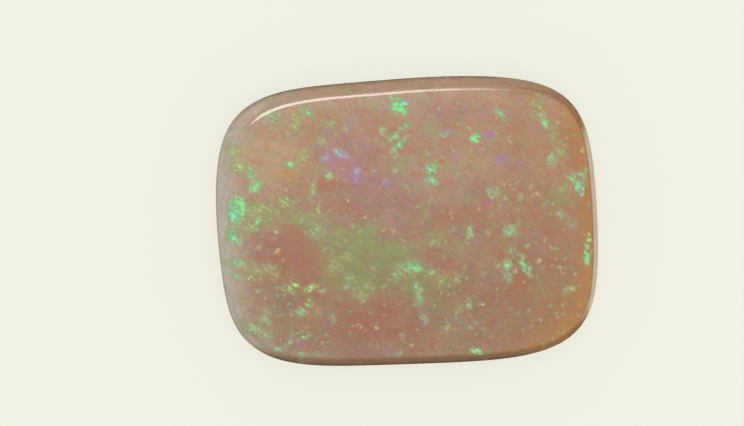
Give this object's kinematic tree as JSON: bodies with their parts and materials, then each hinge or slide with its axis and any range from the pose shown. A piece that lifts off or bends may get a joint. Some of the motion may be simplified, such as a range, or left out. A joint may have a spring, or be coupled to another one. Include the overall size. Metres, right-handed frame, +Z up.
{
  "type": "polished opal cabochon",
  "caption": "Loose cushion-shaped opal cabochon with a low polished dome, a bevelled wall and a flat back that it lies on.",
  "frame": {"origin": "middle of the flat back, at the surface that the stone lies on", "axes": "+X along the stone's length, +Y along its width, +Z up through the dome"},
  "size_m": [0.016, 0.012, 0.0032],
  "materials": {
    "opal": "polished, with a play of green, turquoise and violet fire in a pinkish tan body"
  },
  "bodies": {
    "root": {"opal_cabochon": "opal"}
  },
  "joints": []
}
